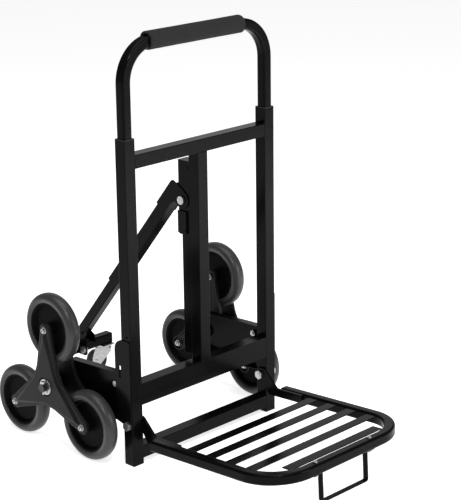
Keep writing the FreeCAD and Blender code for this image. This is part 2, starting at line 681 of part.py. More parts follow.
def make_carrier(name):
    pan = plate(name + "_pan", [
        ("16", "97"), ("60", "94"), ("205", "104"), ("242", "124"), ("242", "168"),
        ("200", "199"), ("60", "206"), ("16", "207")], "carrier_depth",
        rounds=[([("242", "124"), ("242", "168")], "18"), ([("200", "199")], "12"),
                ([("16", "97"), ("16", "207")], "5")])
    hollow_out(pan, X_AXIS, "carrier_plate")
    place(pan, "-carrier_x")
    spacer = box(name + "_spacer", (f"-({UPRIGHT_OUT})", "-carrier_x"), ("17", "33"), ("103", "200"))
    axle_hole = rod(name + "_axle_hole", "axle_across / 2", "-240", "-210", "axle_y", "axle_height")
    bolt_holes = [rod(f"{name}_bolt_hole_{i}", "4", "-240", "-210", y, z)
                  for i, (y, z) in enumerate((FRONT_BOLT, REAR_BOLT))]
    return cut(name, fuse(name + "_shell", pan, spacer), axle_hole, *bolt_holes)


both_sides("axle_carrier", make_carrier)

# Bolts that hold each axle carrier, their heads outside.
def make_carrier_bolt(name, y, z, seat):
    return fuse(name,
                rod(name + "_shank", "4", seat, "-209", y, z),
                rod(name + "_head", "6.5", f"{seat} - 4", seat, y, z),
                hexagon(name + "_nut", "13", "carrier_plate - carrier_x",
                        "carrier_plate - carrier_x + 6.5", y, z))


side_bolts = [
    make_carrier_bolt("carrier_bolt_rear", *REAR_BOLT, "-carrier_x"),
    make_carrier_bolt("carrier_bolt_front", *FRONT_BOLT,
                      f"-({UPRIGHT_OUT}) - wheel_bracket_plate")]
node(group("carrier_bolts", *side_bolts,
           *[mirrored(bolt.Name + "_twin", bolt) for bolt in side_bolts]), "carrier_bolts")

def make_stub(name, play):
    """Left-hand stub axle, its collar longer by the play of the star it carries."""
    shaft = rod(name + "_shaft", "axle_across / 2", f"-axle_end_x - {play}", "-204", "axle_y",
                "axle_height")
    collar = rod(name + "_collar", "15", f"-hub_inner_x - {play} + slide_gap", "-carrier_x",
                 "axle_y", "axle_height")
    nut = rod(name + "_nut", "18", "carrier_plate - carrier_x", "-208", "axle_y", "axle_height")
    cotter_hole = post(name + "_cotter_hole", "2.1", "axle_height - 30", "axle_height + 30",
                       f"-(axle_end_x - 5.5) - {play}", "axle_y")
    return cut(name + "_drilled", fuse(name, shaft, collar, nut), cotter_hole)


node(group("stub_axle_pair", make_stub("stub_axle_left", "0"),
           mirrored("stub_axle_right_side", make_stub("stub_axle_right", "right_play"))),
     "stub_axles")

washer = turned("axle_washer_disc", [
    ("-2.5", "axle_across / 2"), ("0", "axle_across / 2"), ("0", "washer_across / 2"),
    ("-2.5", "washer_across / 2")])
place(washer, "-(hub_outer_x + slide_gap)", "axle_y", "axle_height")
pair("axle_washers", washer, "right_play")

cotter = fuse("cotter_pin",
              post("cotter_wire", "2", "axle_height - 16", "axle_height + 13",
                   "-(axle_end_x - 5.5)", "axle_y"),
              post("cotter_eye", "4.5", "axle_height + 9.8", "axle_height + 15",
                   "-(axle_end_x - 5.5)", "axle_y"))
pair("cotter_pins", cotter, "right_play")

STAR_ANGLES = (90, 210, 330)


def star_point(reach, side, angle):
    """Expressions of a point in the star's plane, side being to the left of its arm."""
    c, s = math.cos(math.radians(angle)), math.sin(math.radians(angle))
    return (f"({reach}) * {c:.9f} - ({side}) * {s:.9f}",
            f"({reach}) * {s:.9f} + ({side}) * {c:.9f}")


def make_star_plate(name, depth, thickness):
    """Three-armed pressed plate with a turned-back rim, open towards +X."""
    points, tips, waists = [], [], []
    for angle in STAR_ANGLES:
        tip_right = star_point("star_reach + star_tip", "-star_tip", angle)
        tip_left = star_point("star_reach + star_tip", "star_tip", angle)
        arm_left = star_point("star_reach - 12", "star_tip + 1.5", angle)
        arm_right = star_point("star_reach - 12", "-star_tip - 1.5", angle)
        waist = star_point("star_waist", "0", angle + 60)
        points += [arm_right, tip_right, tip_left, arm_left, waist]
        tips += [tip_right, tip_left]
        waists.append(waist)
    holes = [(*star_point("star_reach", "0", a), "wheel_bolt_across / 2") for a in STAR_ANGLES]
    star = plate(name, points, depth, rounds=[(tips, "star_tip - 0.2"), (waists, "90")])
    hollow_out(star, X_AXIS, thickness)
    tools = [rod(f"{name}_hole_{i}", r, "-20", "20", y, z) for i, (y, z, r) in enumerate(holes)]
    tools.append(rod(name + "_hub_hole", "hub_across / 2", "-20", "20"))
    return cut(name + "_drilled", star, *tools)


def make_outer_star(name):
    star = make_star_plate(name, "star_flange", "star_plate")
    return place(star, "-star_face_x", "axle_y", "axle_height")


def make_inner_star(name):
    star = make_star_plate(name, "star_plate + inner_flange", "star_plate")
    return place(star, "-inner_plate_x", "axle_y", "axle_height")


def make_star_hub(name):
    hub = turned(name, [
        ("-hub_outer_x", "axle_across / 2 + running_gap"),
        ("-hub_inner_x", "axle_across / 2 + running_gap"),
        ("-hub_inner_x", "hub_across / 2"), ("-hub_outer_x", "hub_across / 2")])
    return place(hub, "0", "axle_y", "axle_height")


def star_spot(angle):
    y, z = star_point("star_reach", "0", angle)
    return f"axle_y + {y}", f"axle_height + {z}"


def make_star_bolts(name):
    bolts = []
    for i, angle in enumerate(STAR_ANGLES):
        y, z = star_spot(angle)
        bolts.append(fuse(
            f"{name}_{i}",
            rod(f"{name}_shank_{i}", "wheel_bolt_across / 2", "-star_face_x", "-231", y, z),
            hexagon(f"{name}_head_{i}", "15", "-star_face_x - 5.5", "-star_face_x", y, z),
            hexagon(f"{name}_nut_{i}", "15", "star_plate - inner_plate_x",
                    "star_plate - inner_plate_x + 5", y, z)))
    return group(name, *bolts)


def make_tyre(name, angle):
    y, z = star_spot(angle)
    tyre = turned(name, [
        ("0", "tyre_inner"), ("wheel_tread", "tyre_inner"), ("wheel_tread", "wheel_radius"),
        ("0", "wheel_radius")], shoulders=[("wheel_radius", "tyre_shoulder")])
    return place(tyre, "-wheel_outer_x", y, z)


def make_rim(name, angle):
    y, z = star_spot(angle)
    rim = turned(name, [
        ("-6", "wheel_bolt_across / 2 + running_gap"),
        ("wheel_tread + 4.5", "wheel_bolt_across / 2 + running_gap"),
        ("wheel_tread + 4.5", "12"), ("wheel_tread - 11", "14"), ("wheel_tread - 11", "50"),
        ("wheel_tread - 3", "56"), ("wheel_tread - 3", "tyre_inner"), ("3", "tyre_inner"),
        ("3", "56"), ("11", "50"), ("11", "14"), ("-6", "11.5")])
    return place(rim, "-wheel_outer_x", y, z)


both_sides("star_outer_plate", make_outer_star, "right_play")
both_sides("star_inner_plate", make_inner_star, "right_play")
both_sides("star_hub", make_star_hub, "right_play")
both_sides("star_bolts", make_star_bolts, "right_play")
for spot, angle in zip(("top", "rear", "front"), (90, 330, 210)):
    both_sides(f"tyre_{spot}", lambda name, a=angle: make_tyre(name, a), "right_play")
    both_sides(f"rim_{spot}", lambda name, a=angle: make_rim(name, a), "right_play")

# ---------------------------------------------------------------- toe platform
FLOOR_TURN = (X_AXIS, "-platform_rise")


def on_platform(item):
    """Carry a piece built in the platform's own frame to the platform at rest."""
    return place(item, "0", "0", "fold_height", FLOOR_TURN)


LOOP_HALF = "loop_width / 2 - handle_tube_size / 2"
loop = u_tube("platform_loop", LOOP_HALF, "loop_back", "loop_front", "loop_bend",
              "handle_tube_size", "bent_round", "handle_wall")
place(loop, "0", "0", "-loop_drop", (X_AXIS, "90"))
node(on_platform(group("platform_loop_part", loop)), "platform_loop")

LOOP_IN = "loop_width / 2 - handle_tube_size"
lug = plate("platform_lug", [
    ("-loop_back - 70", "-loop_drop - 9"), ("-loop_back - 70", "-loop_drop + 11"),
    ("-loop_back + 8", "-loop_drop + 11"), ("-15", "16"), ("16", "16"), ("16", "-14"),
    ("-8", "-16"), ("-26", "-loop_drop - 9")], "lug_plate",
    holes=[("0", "0", "fold_bolt_across / 2 + running_gap")],
    rounds=[([("-15", "16"), ("16", "16"), ("16", "-14")], "13"),
            ([("-8", "-16"), ("-26", "-loop_drop - 9")], "8")])
place(lug, f"-({LOOP_IN})")
node(on_platform(group("platform_lugs_part", lug, mirrored("platform_lug_twin", lug))),
     "platform_lugs")

BEND_START = "(loop_front - loop_bend)"
SLAT_COUNT = 5
slats = []
for i in range(SLAT_COUNT):
    slat_back = f"(slat_first + {i} * slat_pitch)"
    slat_front = f"({slat_back} + slat_width)"
    reach = LOOP_IN
    if value(f"{slat_front} - {BEND_START}") > 0:
        reach = (f"{LOOP_HALF} - loop_bend - 0.5 + sqrt((loop_bend - handle_tube_size / 2)^2"
                 f" - ({slat_front} - {BEND_START})^2)")
    slats.append(box(f"slat_{i}", (f"-({reach})", reach), (f"-{slat_front}", f"-{slat_back}"),
                     ("-loop_drop + 7", "-loop_drop + 7 + slat_plate")))
node(on_platform(group("platform_slats_part", *slats)), "platform_slats")

foot_bar = new_body("foot_loop")
foot_line = new_sketch(foot_bar, "XZ_Plane", "Outline")
EAR_END = "foot_half + foot_ear"
FOOT_IN = "foot_half - foot_plate"
add_polygon(foot_line, [
    (f"-({EAR_END})", "0"), (f"-({FOOT_IN})", "0"), (f"-({FOOT_IN})", "foot_plate - foot_depth"),
    (FOOT_IN, "foot_plate - foot_depth"), (FOOT_IN, "0"), (EAR_END, "0"),
    (EAR_END, "-foot_plate"), ("foot_half", "-foot_plate"), ("foot_half", "-foot_depth"),
    ("-foot_half", "-foot_depth"), ("-foot_half", "-foot_plate"), (f"-({EAR_END})", "-foot_plate")])
pad(foot_bar, foot_line, "foot_width", symmetric=True)
round_edges(foot_bar, Y_AXIS, [("foot_half", "-foot_depth"), ("-foot_half", "-foot_depth")], "7")
round_edges(foot_bar, Y_AXIS, [(FOOT_IN, "foot_plate - foot_depth"),
                               (f"-({FOOT_IN})", "foot_plate - foot_depth")], "4")
LOOP_UNDER = "-loop_drop - handle_tube_size / 2"
place(foot_bar, "foot_aside", "-loop_front", LOOP_UNDER)
screw_holes = [post(f"foot_screw_hole_{i}", "3", f"{LOOP_UNDER} - 10", f"{LOOP_UNDER} + 1",
                    f"foot_aside + {sign} * (foot_half + 13)", "-loop_front") for i, sign in enumerate((-1, 1))]
node(on_platform(cut("foot_loop_drilled", foot_bar, *screw_holes)), "foot_loop")

screws = []
for i, sign in enumerate((-1, 1)):
    x = f"foot_aside + {sign} * (foot_half + 13)"
    screws.append(post(f"foot_screw_{i}", "3", f"{LOOP_UNDER} - foot_plate", LOOP_UNDER,
                       x, "-loop_front"))
    screws.append(post(f"foot_screw_head_{i}", "6", f"{LOOP_UNDER} - foot_plate - 3",
                       f"{LOOP_UNDER} - foot_plate", x, "-loop_front"))
screw_pair = [fuse(f"foot_screw_whole_{i}", *screws[2 * i:2 * i + 2]) for i in range(2)]
heads = [post(f"foot_screw_top_{i}", "5", "handle_tube_size / 2 - loop_drop",
              "handle_tube_size / 2 - loop_drop + 2.5", f"foot_aside + {sign} * (foot_half + 13)",
              "-loop_front") for i, sign in enumerate((-1, 1))]
node(on_platform(group("foot_loop_screws_part", *screw_pair, *heads)), "foot_loop_screws")

fold_bolt = fuse(
    "fold_bolt",
    rod("fold_shank", "fold_bolt_across / 2", f"-({UPRIGHT_OUT}) - 1", "-(loop_width / 2 - 38)",
        "0", "fold_height"),
    hexagon("fold_head", "19", f"-({UPRIGHT_OUT}) - 7.5", f"-({UPRIGHT_OUT})", "0", "fold_height"),
    hexagon("fold_nut", "19", f"-({LOOP_IN}) + lug_plate + slide_gap",
            f"-({LOOP_IN}) + lug_plate + 7", "0", "fold_height"))
pair("platform_pivot_bolts", fold_bolt)

# ---------------------------------------------------------------- checks and files
doc.recompute()
for item in doc.Objects:
    if {"Invalid", "Error"} & set(item.State):
        raise RuntimeError(f"{item.Name} ({item.Label}) is {item.State}")
for item in nodes:
    shape = item.Shape
    if shape.isNull() or not shape.isValid() or not shape.Solids:
        raise RuntimeError(f"{item.Label} has a bad shape")
if len({item.Label for item in nodes}) != len(nodes):
    raise RuntimeError("two nodes share a name")

os.makedirs("parts", exist_ok=True)
for item in nodes:
    item.Shape.exportStep(f"parts/{item.Label}.step")
print(len(nodes), "nodes written")
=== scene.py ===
"""Visual model of a stair climbing trolley on its CAD frame. Metres, row frame: +Z up,
-Y towards the toe platform, +Y towards the wheel stars and the support leg."""
import json
import math

import bmesh
import bpy
from mathutils import Matrix, Vector, noise


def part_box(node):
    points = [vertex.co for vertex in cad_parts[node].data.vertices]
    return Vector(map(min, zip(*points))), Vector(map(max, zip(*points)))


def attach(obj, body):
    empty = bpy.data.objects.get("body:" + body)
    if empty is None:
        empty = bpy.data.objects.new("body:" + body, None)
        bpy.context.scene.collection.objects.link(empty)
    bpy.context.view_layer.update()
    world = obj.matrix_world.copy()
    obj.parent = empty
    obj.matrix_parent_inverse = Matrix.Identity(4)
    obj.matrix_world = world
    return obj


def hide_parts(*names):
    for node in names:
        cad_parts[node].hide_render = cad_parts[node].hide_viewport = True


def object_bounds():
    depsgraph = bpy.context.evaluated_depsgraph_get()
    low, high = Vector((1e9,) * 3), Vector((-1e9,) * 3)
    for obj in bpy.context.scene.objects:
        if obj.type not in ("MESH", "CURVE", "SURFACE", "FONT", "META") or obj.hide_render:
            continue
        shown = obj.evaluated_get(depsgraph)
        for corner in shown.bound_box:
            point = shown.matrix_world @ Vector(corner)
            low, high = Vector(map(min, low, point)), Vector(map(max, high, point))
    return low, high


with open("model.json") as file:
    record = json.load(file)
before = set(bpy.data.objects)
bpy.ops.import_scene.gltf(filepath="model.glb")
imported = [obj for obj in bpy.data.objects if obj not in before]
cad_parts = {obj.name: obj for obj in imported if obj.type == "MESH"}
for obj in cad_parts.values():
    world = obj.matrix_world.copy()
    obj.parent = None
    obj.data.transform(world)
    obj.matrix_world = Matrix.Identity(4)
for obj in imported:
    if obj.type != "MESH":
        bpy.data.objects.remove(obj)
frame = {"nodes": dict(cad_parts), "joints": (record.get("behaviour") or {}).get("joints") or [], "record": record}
cad_low, cad_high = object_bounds()

MM = 0.001
NODES = frame["nodes"]
JOINTS = {joint["name"]: joint for joint in frame["joints"]}
SLOT_OF = {part["node"]: part["material_slot"] for part in frame["record"]["subparts"]}
SIDES = ("left", "right")
FACING = {"left": -1, "right": 1}
SPOTS = ("top", "rear", "front")
X_AXIS = Vector((1, 0, 0))
WHITE = (1.0, 1.0, 1.0, 1.0)


# ------------------------------------------------------------------------------ materials

# The part of a noise's 0 to 1 that drives a colour, a roughness, a scuff or a pit.
TINT_RANGE = (0.35, 0.7)
GLOSS_RANGE = (0.3, 0.7)
SCUFF_RANGE = (0.38, 0.62)
TARNISH_RANGE = (0.35, 0.75)
PIT_RANGE = (0.5, 0.75)
EDGE_RANGE = (0.02, 0.25)
BEVEL_SAMPLES = 4


def new_material(name):
    material = bpy.data.materials.new(name)
    material.use_nodes = True
    tree = material.node_tree
    shader = tree.nodes["Principled BSDF"]
    return material, tree, shader


def add(tree, kind, **inputs):
    """A node of that kind, with its inputs set by name or linked to a socket."""
    item = tree.nodes.new(kind)
    for key, given in inputs.items():
        name = key.replace("_", " ")
        if isinstance(given, bpy.types.NodeSocket):
            tree.links.new(given, item.inputs[name])
        else:
            item.inputs[name].default_value = given
    return item


def maths(tree, operation, first, second):
    item = tree.nodes.new("ShaderNodeMath")
    item.operation = operation
    for socket, given in zip(item.inputs, (first, second)):
        if isinstance(given, bpy.types.NodeSocket):
            tree.links.new(given, socket)
        else:
            socket.default_value = given
    return item.outputs[0]


def grain(tree, cell, detail=2.0, rough=0.5, stretch=None):
    """Noise from 0 to 1 with cells of about that size in metres."""
    where = tree.nodes.new("ShaderNodeTexCoord").outputs["Object"]
    if stretch:
        mapping = add(tree, "ShaderNodeMapping", Vector=where, Scale=stretch)
        where = mapping.outputs[0]
    item = add(tree, "ShaderNodeTexNoise", Vector=where, Scale=1 / cell, Detail=detail,
               Roughness=rough)
    return item.outputs["Fac"]


def spread(tree, fac, low, high, from_low=0.0, from_high=1.0):
    """A value between from_low and from_high turned into one between low and high."""
    item = add(tree, "ShaderNodeMapRange", Value=fac)
    for name, value in (("From Min", from_low), ("From Max", from_high), ("To Min", low),
                        ("To Max", high)):
        item.inputs[name].default_value = value
    return item.outputs[0]


def edges(tree, radius):
    """1 along convex and concave edges within that radius, 0 on flat stretches."""
    bevel = tree.nodes.new("ShaderNodeBevel")
    bevel.samples = BEVEL_SAMPLES
    bevel.inputs["Radius"].default_value = radius
    normal = tree.nodes.new("ShaderNodeNewGeometry").outputs["Normal"]
    dot = tree.nodes.new("ShaderNodeVectorMath")
    dot.operation = "DOT_PRODUCT"
    tree.links.new(bevel.outputs[0], dot.inputs[0])
    tree.links.new(normal, dot.inputs[1])
    away = maths(tree, "SUBTRACT", 1.0, dot.outputs["Value"])
    return spread(tree, away, 0.0, 1.0, *EDGE_RANGE)


def mix_colour(tree, fac, first, second):
    item = tree.nodes.new("ShaderNodeMix")
    item.data_type = "RGBA"
    for socket, given in ((item.inputs[0], fac), (item.inputs[6], first), (item.inputs[7], second)):
        if isinstance(given, bpy.types.NodeSocket):
            tree.links.new(given, socket)
        else:
            socket.default_value = (*given, 1.0)
    return item.outputs[2]


def bump(tree, height, distance, strength):
    item = add(tree, "ShaderNodeBump", Height=height, Distance=distance, Strength=strength)
    return item.outputs[0]


def scaled(colour, factor):
    return [min(1.0, channel * factor) for channel in colour]


def set_gloss(tree, shader, fac, low, high):
    """Roughness that wanders between low and high with a noise."""
    tree.links.new(spread(tree, fac, low, high, *GLOSS_RANGE), shader.inputs["Roughness"])


PAINT_CLOUD = 90 * MM
PAINT_SCUFF = 12 * MM
PAINT_EDGE = 1.6 * MM
PAINT_PEEL = (0.05 * MM, 0.35)
SCUFF_POLISH = -0.05


def painted(name, base, roughness, peel, worn, specular):
    """Powder coat: a fine orange peel, uneven gloss, faint dust and thin, paler edges."""
    material, tree, shader = new_material(name)
    cloud = grain(tree, PAINT_CLOUD, 3)
    fine = grain(tree, peel)
    patches = spread(tree, grain(tree, PAINT_SCUFF, 4), 0.0, 1.0, *SCUFF_RANGE)
    scuffed = maths(tree, "MULTIPLY", edges(tree, PAINT_EDGE), patches)
    dusted = mix_colour(tree, spread(tree, cloud, 0.0, 1.0, *TINT_RANGE), scaled(base, 0.85),
                        scaled(base, 1.25))
    tree.links.new(mix_colour(tree, scuffed, dusted, worn), shader.inputs["Base Color"])
    gloss = spread(tree, cloud, roughness * 0.85, roughness * 1.2, *GLOSS_RANGE)
    polish = maths(tree, "MULTIPLY", scuffed, SCUFF_POLISH)
    tree.links.new(maths(tree, "ADD", gloss, polish), shader.inputs["Roughness"])
    tree.links.new(bump(tree, fine, *PAINT_PEEL), shader.inputs["Normal"])
    shader.inputs["Specular IOR Level"].default_value = specular
    return material


METAL_CLOUD = 6 * MM
METAL_DRAWN = 1.2 * MM
METAL_EDGE = 0.8 * MM
METAL_LINES = (0.04 * MM, 0.5)


def plated(name, base, roughness, lines):
    """Zinc or bare steel: fine drawn lines, cloudy tarnish and brighter rubbed edges."""
    material, tree, shader = new_material(name)
    cloud = grain(tree, METAL_CLOUD, 4, 0.6)
    drawn = grain(tree, METAL_DRAWN, 2, 0.5, lines)
    tarnish = mix_colour(tree, spread(tree, cloud, 0.0, 1.0, *TARNISH_RANGE), base,
                         scaled(base, 0.78))
    rubbed = mix_colour(tree, edges(tree, METAL_EDGE), tarnish, scaled(base, 1.25))
    tree.links.new(rubbed, shader.inputs["Base Color"])
    set_gloss(tree, shader, cloud, roughness * 0.85, roughness * 1.25)
    tree.links.new(bump(tree, drawn, *METAL_LINES), shader.inputs["Normal"])
    shader.inputs["Metallic"].default_value = 1.0
    return material


RUBBER_CLOUD = 30 * MM
RUBBER_PIT = 0.5 * MM
RUBBER_PIT_DEPTH = 0.04 * MM
RUBBER_BUMP = 0.6
RUBBER_SHEEN_ROUGHNESS = 0.4


def rubbery(name, base, dust, roughness, sheen, specular=0.2, cell=RUBBER_PIT,
            depth=RUBBER_PIT_DEPTH):
    """Rubber or foam: fine pits, a dusty sheen, paler where it has been rubbed."""
    material, tree, shader = new_material(name)
    cloud = grain(tree, RUBBER_CLOUD, 4, 0.6)
    pits = grain(tree, cell, 3, 0.65)
    tint = mix_colour(tree, spread(tree, cloud, 0.0, 1.0, *TINT_RANGE), base, dust)
    speck = mix_colour(tree, spread(tree, pits, 0.0, 0.45, *PIT_RANGE), tint, scaled(base, 0.6))
    tree.links.new(speck, shader.inputs["Base Color"])
    set_gloss(tree, shader, pits, roughness * 0.9, min(1.0, roughness * 1.1))
    tree.links.new(bump(tree, pits, depth, RUBBER_BUMP), shader.inputs["Normal"])
    shader.inputs["Specular IOR Level"].default_value = specular
    shader.inputs["Sheen Weight"].default_value = sheen
    shader.inputs["Sheen Roughness"].default_value = RUBBER_SHEEN_ROUGHNESS
    return material


PLASTIC_CLOUD = 20 * MM
PLASTIC_EDGE = 1.0 * MM
PLASTIC_CELL = 0.7 * MM
PLASTIC_TEXTURE = (0.03 * MM, 0.5)


def moulded(name, base, roughness, specular):
    """Moulded plastic: a fine spark-eroded texture and slightly polished edges."""
    material, tree, shader = new_material(name)
    cloud = grain(tree, PLASTIC_CLOUD, 3)
    fine = grain(tree, PLASTIC_CELL, 3, 0.6)
    tint = mix_colour(tree, spread(tree, cloud, 0.0, 1.0, *GLOSS_RANGE), base,
                      scaled(base, 1.35))
    polished = mix_colour(tree, edges(tree, PLASTIC_EDGE), tint, scaled(base, 1.8))
    tree.links.new(polished, shader.inputs["Base Color"])
    set_gloss(tree, shader, cloud, roughness * 0.9, roughness * 1.15)
    tree.links.new(bump(tree, fine, *PLASTIC_TEXTURE), shader.inputs["Normal"])
    shader.inputs["Specular IOR Level"].default_value = specular
    return material


MATERIALS = {
    "frame_paint": painted("frame_paint", (0.0022, 0.0022, 0.0023), 0.2, 0.8 * MM,
                           (0.013, 0.013, 0.0133), specular=0.062),
    "star_paint": painted("star_paint", (0.0085, 0.0086, 0.009), 0.34, 0.6 * MM,
                          (0.04, 0.04, 0.042), specular=0.12),
    "bare_steel": plated("bare_steel", (0.06, 0.06, 0.06), 0.34, (4, 1, 1)),
    "zinc_steel": plated("zinc_steel", (0.5, 0.5, 0.495), 0.32, (1, 1, 4)),
    "tyre": rubbery("tyre", (0.033, 0.0333, 0.035), (0.039, 0.0393, 0.041), 0.34, sheen=0.02,
                    specular=0.32),
    "rim_plastic": moulded("rim_plastic", (0.002, 0.002, 0.0022), 0.42, specular=0.03),
    "caster_rubber": rubbery("caster_rubber", (0.022, 0.022, 0.023), (0.028, 0.028, 0.029),
                             0.5, sheen=0.05),
    "black_plastic": moulded("black_plastic", (0.008, 0.008, 0.0085), 0.4, specular=0.2),
    "grip_foam": rubbery("grip_foam", (0.0155, 0.015, 0.015), (0.0185, 0.018, 0.018), 0.85,
                         sheen=0.0, cell=0.45 * MM, depth=0.12 * MM),
}


# ------------------------------------------------------------------------- CAD nodes shown

WELD_DISTANCE = 0.002 * MM
CAD_BEVEL = 0.45 * MM
BEVEL_SEGMENTS = 2
BEVEL_ANGLE = math.radians(28)
FACE_WEIGHT = 60


def soften(item):
    """Small rolled edges and even shading on a CAD node."""
    weld = item.modifiers.new("weld", "WELD")
    weld.merge_threshold = WELD_DISTANCE
    bevel = item.modifiers.new("edge", "BEVEL")
    bevel.width = CAD_BEVEL
    bevel.segments = BEVEL_SEGMENTS
    bevel.limit_method = "ANGLE"
    bevel.angle_limit = BEVEL_ANGLE
    normals = item.modifiers.new("normals", "WEIGHTED_NORMAL")
    normals.weight = FACE_WEIGHT
    normals.keep_sharp = False


def give(item, slot_name):
    item.data.materials.clear()
    item.data.materials.append(MATERIALS[slot_name])


for node_name, item in NODES.items():
    give(item, SLOT_OF[node_name])
    soften(item)


# The forward carrier bolts are painted over, and the rear ones are plain zinc.
PAINTED_BOLT_TOP = 0.14
bolts = NODES["carrier_bolts"].data
bolts.materials.append(MATERIALS["frame_paint"])
for polygon in bolts.polygons:
    if polygon.center.z < PAINTED_BOLT_TOP:
        polygon.material_index = 1


# ---------------------------------------------------------------------------- mesh pieces

def to_piece(mesh_data, name, body, slot_name, stands_for=()):
    """A finished bmesh as a smooth-shaded piece that rides a body."""
    bmesh.ops.recalc_face_normals(mesh_data, faces=mesh_data.faces)
    mesh = bpy.data.meshes.new(name)
    mesh_data.to_mesh(mesh)
    mesh_data.free()
    mesh.polygons.foreach_set("use_smooth", [True] * len(mesh.polygons))
    item = bpy.data.objects.new(name, mesh)
    bpy.context.scene.collection.objects.link(item)
    give(item, slot_name)
    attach(item, body)
    if stands_for:
        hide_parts(*stands_for)
    return item


def middle_of(low, high):
    return (low + high) / 2


def split_edges(item, angle):
    """Sharp shading wherever a piece turns by more than that angle."""
    split = item.modifiers.new("crease", "EDGE_SPLIT")
    split.split_angle = angle


def rings_to_faces(mesh_data, rings):
    """Quads between rings of vertices, and from the last ring back to the first."""
    count = len(rings)
    size = len(rings[0])
    for i in range(count):
        first, second = rings[i], rings[(i + 1) % count]
        for j in range(size):
            k = (j + 1) % size
            mesh_data.faces.new((first[j], first[k], second[k], second[j]))


def revolve(mesh_data, profile, centre, axis, steps):
    """Adds a closed profile of (along, radius) points turned about an axis through centre."""
    axis = Vector(axis).normalized()
    across = axis.orthogonal().normalized()
    rings = []
    for i in range(steps):
        angle = 2 * math.pi * i / steps
        outwards = Matrix.Rotation(angle, 3, axis) @ across
        ring = []
        for along, radius in profile:
            ring.append(mesh_data.verts.new(Vector(centre) + axis * along + outwards * radius))
        rings.append(ring)
    rings_to_faces(mesh_data, rings)


def arc(centre_along, centre_radius, radius, start, end, steps):
    """Points on an arc of a profile, from one angle to another in degrees, 0 along +axis."""
    points = []
    for i in range(steps + 1):
        angle = math.radians(start + (end - start) * i / steps)
        points.append((centre_along + radius * math.cos(angle),
                       centre_radius + radius * math.sin(angle)))
    return points


# --------------------------------------------------------------------------------- tyres

TYRE_STEPS = 96
TYRE_SHOULDER = 12 * MM
SHOULDER_ARC = (4, 84, 12)
TYRE_CROWN = 0.6 * MM
CROWN_EASE = 0.4
BEAD_STEP = 1.2 * MM
BEAD_WIDTH = 4.5 * MM
BEAD_CHAMFER = (1.5 * MM, 1.0 * MM)
BEAD_LIP = (0.5 * MM, 0.8 * MM)


def tyre_profile(half, inner, outer):
    """Half width, bead radius and tread radius of a tyre, as a closed (along, radius) loop."""
    side = half - BEAD_STEP
    bead = inner + BEAD_WIDTH
    shoulder_along = half - TYRE_SHOULDER
    shoulder_radius = outer - TYRE_CROWN - TYRE_SHOULDER
    right = [(side - BEAD_CHAMFER[0], inner), (side, inner + BEAD_CHAMFER[1]), (side, bead),
             (half - BEAD_LIP[0], bead + BEAD_LIP[1])]
    right += arc(shoulder_along, shoulder_radius, TYRE_SHOULDER, *SHOULDER_ARC)
    right.append((shoulder_along, outer - TYRE_CROWN * CROWN_EASE))
    left = [(-along, radius) for along, radius in reversed(right)]
    return right + [(0.0, outer)] + left


for side in SIDES:
    for spot in SPOTS:
        name = f"tyre_{spot}_{side}"
        low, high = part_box(name)
        rim_low, rim_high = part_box(f"rim_{spot}_{side}")
        profile = tyre_profile((high.x - low.x) / 2, (rim_high.z - rim_low.z) / 2,
                               (high.z - low.z) / 2)
        mesh_data = bmesh.new()
        revolve(mesh_data, profile, middle_of(low, high), X_AXIS, TYRE_STEPS)
        to_piece(mesh_data, name + "_moulded", f"wheel_{spot}_{side}", "tyre", [name])


# --------------------------------------------------------------------------- star plates

ARMS = 3
ARM_TURN = math.radians(120)
FIRST_ARM = math.radians(90)
# Rays are closer together over an arm's narrow tip, and stop just short of the waist's end.
RAY_DEGREES = [0.6 * i for i in range(20)] + [12 + 2 * i for i in range(25)]
WAIST_TURN = math.radians(59.95)
TIP_STEPS = 12
SIDE_STEPS = 10
WAIST_STEPS = 12
STAR_WAIST = 45 * MM
WAIST_ROUND = 90 * MM
TIP_TAPER = (12 * MM, 1.5 * MM)
ROLL = 4.0 * MM
ROLL_STEPS = 5
ROLL_INSET = 0.3 * MM
RIM_DEPTH = 8 * MM
FOOT_BACK = 8 * MM
FOOT_TIP = 4 * MM
FOOT_TAPER = (2 * MM, 2 * MM)
FOOT_WAIST = STAR_WAIST - 3 * MM
RIDGE_HEIGHT = 5.0 * MM
RIDGE_BACK = 17 * MM
RIDGE_TIP = 2.0 * MM
RIDGE_TAPER = (2 * MM, 0.5 * MM)
RIDGE_WAIST = STAR_WAIST - 7 * MM
RIDGE_FLANK = 1.5 * MM
CREASE = 1.0 * MM
CREASE_DROP = 0.2 * MM
PLATEAU_RINGS = 8
HUB_SEAT = (20.5 * MM, 22 * MM)
HUB_DROP = 1.5 * MM
HUB_CLEARANCE = 0.5 * MM
STAR_SHEET = 2.0 * MM
STAR_CREASE_ANGLE = math.radians(36)
PARALLEL = 1e-12
EDGE_SLACK = 1e-6
LEAST_SLANT = 0.08


def half_arm(reach, tip, taper, waist_radius):
    """Outline of half an arm, from its rounded tip to the waist between two arms."""
    turns = [math.radians(90 * i / TIP_STEPS) for i in range(TIP_STEPS + 1)]
    points = [(reach + tip * math.cos(turn), tip * math.sin(turn)) for turn in turns]
    shoulder = Vector((reach - taper[0], tip + taper[1]))
    between = Vector((math.cos(ARM_TURN / 2), math.sin(ARM_TURN / 2)))
    waist = between * waist_radius
    side = (shoulder - waist).normalized()
    opening = side.angle(between)
    tangent = waist + side * (WAIST_ROUND / math.tan(opening))
    centre = waist + between * (WAIST_ROUND / math.sin(opening))
    points += [tuple(shoulder.lerp(tangent, i / SIDE_STEPS)) for i in range(SIDE_STEPS + 1)]
    start = tangent - centre
    sweep = start.angle_signed(-between)
    for i in range(1, WAIST_STEPS + 1):
        points.append(tuple(centre + Matrix.Rotation(-sweep * i / WAIST_STEPS, 2) @ start))
    return points


